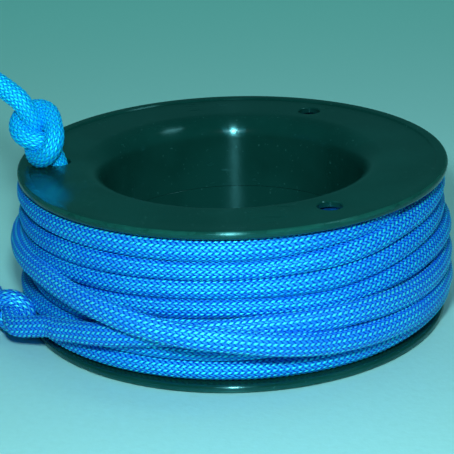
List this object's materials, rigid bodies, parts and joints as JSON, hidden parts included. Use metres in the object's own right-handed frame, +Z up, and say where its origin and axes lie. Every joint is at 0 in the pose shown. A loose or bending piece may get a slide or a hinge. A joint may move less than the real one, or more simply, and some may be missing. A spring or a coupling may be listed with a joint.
{
  "type": "line spool",
  "caption": "Green moulded spool with a wide flared bore, wound full of blue braided cord, knotted at the upper flange and at its loose end.",
  "frame": {"origin": "on the spool's axis, in the plane that its lower flange stands on", "axes": "+Z up along the spool's axis, -Y the front, where the last turn is tucked under itself, -X the side of the knot on the upper flange"},
  "size_m": [0.1066, 0.0892, 0.0489],
  "materials": {
    "green_plastic": "gloss",
    "blue_cord": "matte",
    "sealed_cord": "satin"
  },
  "bodies": {
    "root": {"upper_half": "green_plastic", "lower_half": "green_plastic", "inner_layers": "blue_cord", "outer_winding": "blue_cord", "last_turn": "blue_cord", "anchor_knot": "blue_cord", "anchor_tail": "blue_cord", "anchor_tip": "sealed_cord", "running_end": "blue_cord", "running_knot": "blue_cord", "running_tail": "blue_cord", "running_tip": "sealed_cord"}
  },
  "joints": []
}
